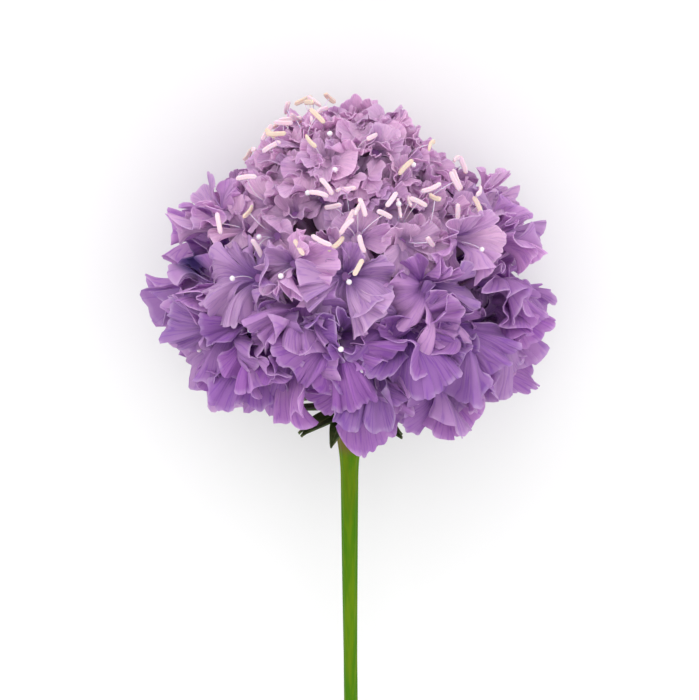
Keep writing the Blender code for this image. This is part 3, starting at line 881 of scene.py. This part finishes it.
petal = petal_material()
large = np.flatnonzero(florets["large"])
small = np.flatnonzero(~florets["large"])
for size, members, parts, first_seed in (("large", large, 4, 0), ("small", small, 2, 9)):
    for n, part in enumerate(np.array_split(members, parts)):
        build_lobes(f"petals_{size}_{n}", part, size, petal, first_seed + n)

# Each floret's tube runs from its root in the core to its throat and widens on the way.
TUBE_ROOT_RADIUS = 0.7 * MM
TUBE_MOUTH_RADIUS = THROAT_RADIUS * 0.8
TUBE_RINGS, TUBE_SIDES = 9, 10
TUBE_BEND = 0.4
TUBE_END_DEPTH = FUNNEL_DEPTH * 0.9
TUBE_LOWEST = 0.3 * MM
TUBE_PALE = (0.45, 0.28, 0.44)
# Painted shade: the tube deepens to this colour at its mouth, down in the funnel of lobes.
TUBE_MOUTH_SHADE = (0.34, 0.14, 0.42)


def tubes(paths, radii, sides, groove=0.0):
    """Closed tubes along paths (count, rings, 3): each ring lies square to the path, turned from a fixed
    direction that the path isn't near, with a fan of faces on both ends. A groove takes its share of the
    radius away on two sides. Returns points, quads and fans."""
    count, rings, _ = paths.shape
    ahead = np.gradient(paths, axis=1)
    ahead /= np.maximum(np.linalg.norm(ahead, axis=-1, keepdims=True), 1e-12)
    mean = paths[:, -1] - paths[:, 0]
    upright = np.abs(mean[:, 2:]) >= 0.8 * np.linalg.norm(mean, axis=1, keepdims=True)
    reference = np.where(upright, (1.0, 0, 0), (0, 0, 1.0))
    first = np.cross(ahead, reference[:, None])
    first /= np.maximum(np.linalg.norm(first, axis=-1, keepdims=True), 1e-12)
    second = np.cross(ahead, first)
    spin = np.linspace(0, tau, sides, endpoint=False)
    ring = first[:, :, None] * np.cos(spin)[:, None] + second[:, :, None] * np.sin(spin)[:, None]
    section = 1 - groove * (1 - np.abs(np.cos(spin)) ** 1.2)
    points = paths[:, :, None] + ring * section[:, None] * np.asarray(radii, float)[..., None, None]
    every = np.concatenate([points.reshape(count, -1, 3), paths[:, :1], paths[:, -1:]], axis=1)
    size = rings * sides + 2
    one = grid_faces(rings, sides, closed=True)
    quads = (one[None] + (np.arange(count) * size)[:, None, None]).reshape(-1, 4)
    fans = [fan for k in range(count) for fan in end_fans(rings, sides, k * size)]
    return every.reshape(-1, 3), quads, fans


def tube_material():
    """Pale lilac, with painted shade deepening it towards the mouth."""
    m = Shader("floret_tube", Roughness=0.6, Subsurface_Weight=0.2)
    m.shader.inputs["Subsurface Scale"].default_value = 1.0 * MM
    skin = m.mix(m.ramp(m.value("along"), 0.8, 1.0), TUBE_PALE, TUBE_MOUTH_SHADE)
    m.link(skin, m.shader.inputs["Base Color"])
    return m.material


def build_tubes():
    """The corolla tubes: from the core out to every throat the path is a quadratic curve that ends in the
    floret's own direction, and the radius swells with the cube of the share t along it."""
    throat, outward, root = (florets[n][:, None] for n in ("throat", "outward", "root"))
    t = np.linspace(0, 1, TUBE_RINGS)
    bend = throat - outward * np.linalg.norm(throat - root, axis=-1, keepdims=True) * TUBE_BEND
    far = t[:, None]
    path = (1 - far) ** 2 * root + 2 * far * (1 - far) * bend + far**2 * (throat - outward * TUBE_END_DEPTH)
    radii = TUBE_ROOT_RADIUS + (TUBE_MOUTH_RADIUS - TUBE_ROOT_RADIUS) * t**3
    points, quads, fans = tubes(in_world(path), np.broadcast_to(radii, path.shape[:2]), TUBE_SIDES)
    points[:, 2] = np.maximum(points[:, 2], TUBE_LOWEST)
    piece = new_piece("floret_tubes", points, quads, tube_material(), fans)
    point_normals_out(piece)
    add_value(piece, "along", np.tile(np.append(np.repeat(t, TUBE_SIDES), (0.0, 1.0)), len(path)))
    return piece


floret_tubes = build_tubes()
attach(floret_tubes, "root")

# The stamens and styles
# From the throats stand thin white filaments that carry long anthers, pinkish or cream, across their
# tips, and styles that end in a round white stigma. Both grow from inside the tube.
THREAD_RINGS = 9
FILAMENT_RADIUS = 0.09 * MM
FILAMENT_SIDES = 6
ANTHER_LENGTH = 4.3 * MM
ANTHER_RADIUS = 0.44 * MM
ANTHER_TIP_RADIUS = 0.02 * MM
ANTHER_RINGS, ANTHER_SIDES = 15, 16
ANTHER_GROOVE = 0.5
ANTHER_BOW = 0.04 * ANTHER_LENGTH
ANTHER_SIZES = (0.75, 1.15)
STIGMA_RADIUS = 0.5 * MM
STIGMA_TIP_RADIUS = 0.01 * MM
STIGMA_RINGS, STIGMA_SIDES = 11, 14
STIGMA_FLATTER = 0.9
# For the stamens and for the styles: how many a floret has, the shortest and longest in mm, the limits of
# their lean, and shares of the florets counted upwards with the share of the threads that is out there.
STAMENS = (4, 4.5, 8.0, (0.15, 0.7), (0.0, 0.3, 0.38, 0.42, 0.5, 0.6, 0.68, 1.0),
           (0.01, 0.02, 0.15, 0.6, 0.7, 0.35, 0.08, 0.1))
STYLES = (1, 4.0, 7.5, (0.0, 0.4), (0.0, 0.35, 0.5, 1.0), (0.35, 0.5, 0.35, 0.3))
# How far a thread strays from its place round the throat, in shares of the room each one has.
THREAD_PLACES = (-0.3, 0.3)
CROWN_SHORTER = 0.35
SIDE_CHANCE = 0.2
LOWEST_TIP = 3 * MM
# A tuft of stamens stands over the crown's left: its turn, half its width, its shares of the florets and
# how much likelier a stamen is out there.
TUFT_TURN, TUFT_HALF_WIDTH = radians(-105), radians(38)
TUFT_SHARES = (0.76, 0.97)
TUFT_CHANCE = 0.5
WHITE_AND_LILAC = ((0.78, 0.66, 0.80), (0.7, 0.52, 0.72))
PINK_AND_CREAM = ((0.86, 0.66, 0.75), (0.78, 0.63, 0.52))
STIGMA_WHITES = ((0.86, 0.80, 0.86), (0.84, 0.74, 0.84))


def threads(count, low, high, leans, shares, shares_out, seed):
    """Paths (count, rings, 3) of threads from the throats: straight out with a bow that grows as the
    square of the share along it. More are out on the side that faces the viewer, as the cube of the cosine
    of the turn, and a thread that would end near the table is left out."""
    rng = np.random.default_rng(seed)
    florets_in_all = len(florets["share"])
    index = np.repeat(np.arange(florets_in_all), count)
    number = np.tile(np.arange(count), florets_in_all)
    turn = (tau * (number + rng.uniform(*THREAD_PLACES, len(index))) / count)[:, None]
    share = florets["share"][index]
    tall = rng.uniform(low, high, (len(index), 1, 1)) * MM * (1 - CROWN_SHORTER * share[:, None, None])
    lean = rng.uniform(*leans, (len(index), 1, 1))
    throat, outward, outer, sideways = throats_and_ways(index)
    away = outer * np.cos(turn) + sideways * np.sin(turn)
    t = np.linspace(0, 1, THREAD_RINGS)[:, None]
    path = (throat + away * THROAT_RADIUS * 0.5)[:, None] + outward[:, None] * tall * t
    path = in_world(path + away[:, None] * lean * tall * t**2)
    from_axis = np.maximum(np.hypot(throat[:, 0], throat[:, 2]), 1e-6)
    facing = SIDE_CHANCE + np.clip(throat[:, 2] / from_axis, 0, 1) ** 3
    chance = np.interp(share, shares, shares_out) * facing
    if count > 1:
        near = np.abs(turned_from(florets["turn"][index], TUFT_TURN)) < TUFT_HALF_WIDTH
        chance = chance + TUFT_CHANCE * (near & (share > TUFT_SHARES[0]) & (share < TUFT_SHARES[1]))
    shown = rng.random(len(index)) < chance
    return path[shown & (path[:, -1, 2] > LOWEST_TIP)]


def pale_material(name, main, other):
    """A pale waxy skin in one of two colours, by each anther's own chance. The pieces that have no such
    value take the first."""
    m = Shader(name, Roughness=0.5, Subsurface_Weight=0.3)
    m.shader.inputs["Subsurface Scale"].default_value = 0.8 * MM
    m.link(m.mix(m.ramp(m.value("chance"), 0.6, 0.8), main, other), m.shader.inputs["Base Color"])
    return m.material


def unit(vectors):
    """The vectors (count, 3) at length 1."""
    return vectors / np.linalg.norm(vectors, axis=1, keepdims=True)


def build_threads_and_tips():
    """Filaments and styles: thin tubes. Anthers: a bowed bar across each stamen's tip, its radius the root
    of 1 - t^8 of the share t from its middle, with blunt ends. Stigmas: a half circle turned about the
    style at its tip."""
    rng = np.random.default_rng(FLORET_SEED + 1)
    stamens = threads(*STAMENS, FLORET_SEED + 2)
    styles = threads(*STYLES, FLORET_SEED + 3)
    both = np.concatenate([stamens, styles])
    points, quads, fans = tubes(both, np.full(both.shape[:2], FILAMENT_RADIUS), FILAMENT_SIDES)
    skin = pale_material("filament_white", *WHITE_AND_LILAC)
    filaments = new_piece("filaments", points, quads, skin, fans)

    tips = stamens[:, -1]
    heading = unit(np.cross(tips - stamens[:, -2], rng.normal(0, 1, tips.shape)))
    bow = np.cross(heading, rng.normal(0, 1, tips.shape))
    size = rng.uniform(*ANTHER_SIZES, (len(tips), 1, 1))
    t = np.linspace(-1, 1, ANTHER_RINGS)
    path = tips[:, None] + heading[:, None] * (t[None, :, None] * ANTHER_LENGTH / 2 * size)
    path = path + bow[:, None] * (ANTHER_BOW * (t[None, :, None] ** 2 - 0.3))
    radii = ANTHER_RADIUS * np.clip(1 - np.abs(t) ** 8, 0.0, 1) ** 0.5 + ANTHER_TIP_RADIUS
    radii = np.broadcast_to(radii, path.shape[:2])
    points, quads, fans = tubes(path, radii, ANTHER_SIDES, ANTHER_GROOVE)
    skin = pale_material("anther_cream", *PINK_AND_CREAM)
    anthers = new_piece("anthers", points, quads, skin, fans)
    add_value(anthers, "chance", np.repeat(rng.uniform(0, 1, len(tips)), len(points) // len(tips)))

    t = np.linspace(0, np.pi, STIGMA_RINGS)
    ahead = unit(styles[:, -1] - styles[:, -2])
    along = (STIGMA_RADIUS * np.cos(t))[None, :, None]
    path = styles[:, -1][:, None] - ahead[:, None] * along * STIGMA_FLATTER
    radii = STIGMA_RADIUS * np.sin(t) + STIGMA_TIP_RADIUS
    points, quads, fans = tubes(path, np.broadcast_to(radii, path.shape[:2]), STIGMA_SIDES)
    skin = pale_material("stigma_white", *STIGMA_WHITES)
    stigmas = new_piece("stigmas", points, quads, skin, fans)
    return filaments, anthers, stigmas


for piece in build_threads_and_tips():
    point_normals_out(piece)
    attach(piece, "root")

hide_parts("bloom")

# The place it lies in and the camera
# A plain white table under soft daylight from above and a little from the left. The camera looks down
# on the crown's side so that the stem runs straight down the picture.
TABLE_HALF = 3
TABLE_WHITE = (0.93, 0.93, 0.93, 1)
# The size of a pixel at the head, the picture's width in pixels, the rows of the head's base and of the
# picture's middle, and the width of the camera's sensor in mm.
PIXEL = 0.182 * MM
PICTURE_WIDTH = 699
BASE_ROW = 415
MIDDLE_ROW = 350
SENSOR_WIDTH = 36
CAMERA_DISTANCE = 0.8
NEAREST_SEEN = 0.01
DAYLIGHT = 0.97
# Each light's direction as right, up and back of the picture, its distance and side in m and power in W.
LIGHTS = {
    "key": ((-0.3, 0.6, 0.8), 1.8, 1.6, 7),
    "front": ((0.1, 0.05, 1.0), 2.2, 1.6, 8),
    "fill": ((0.9, 0.1, 0.8), 1.8, 1.8, 3),
}

scene = bpy.context.scene
floor_mesh = bpy.data.meshes.new("table")
corners = [(x * TABLE_HALF, y * TABLE_HALF, 0) for x, y in ((-1, -1), (1, -1), (1, 1), (-1, 1))]
floor_mesh.from_pydata(corners, [], [(0, 1, 2, 3)])
floor = bpy.data.objects.new("table", floor_mesh)
scene.collection.objects.link(floor)
white = Shader("white_board", Roughness=0.9, Specular_IOR_Level=0.1)
white.shader.inputs["Base Color"].default_value = TABLE_WHITE
floor_mesh.materials.append(white.material)

picture_right = np.cross(picture_up, back)
picture_axes = np.column_stack([picture_right, picture_up, back])
target = BASE + picture_up * (BASE_ROW - MIDDLE_ROW) * PIXEL
camera_data = bpy.data.cameras.new("camera")
camera_data.lens = SENSOR_WIDTH * CAMERA_DISTANCE / (PIXEL * PICTURE_WIDTH)
camera_data.clip_start = NEAREST_SEEN
camera = bpy.data.objects.new("camera", camera_data)
turned = Matrix(picture_axes.tolist()).to_4x4()
camera.matrix_world = Matrix.Translation(Vector(target + back * CAMERA_DISTANCE)) @ turned
scene.collection.objects.link(camera)
scene.camera = camera

for name, (direction, distance, side, power) in LIGHTS.items():
    light = bpy.data.lights.new(name, "AREA")
    light.size = side
    light.energy = power
    lamp = bpy.data.objects.new(name, light)
    way = Vector(picture_axes @ np.array(direction)).normalized()
    lamp.matrix_world = way.to_track_quat("Z", "Y").to_matrix().to_4x4()
    lamp.location = Vector(target) + way * distance
    scene.collection.objects.link(lamp)

world = bpy.data.worlds.new("daylight")
world.use_nodes = True
world.node_tree.nodes["Background"].inputs["Color"].default_value = (1, 1, 1, 1)
world.node_tree.nodes["Background"].inputs["Strength"].default_value = DAYLIGHT
scene.world = world
scene.view_settings.view_transform = "Standard"
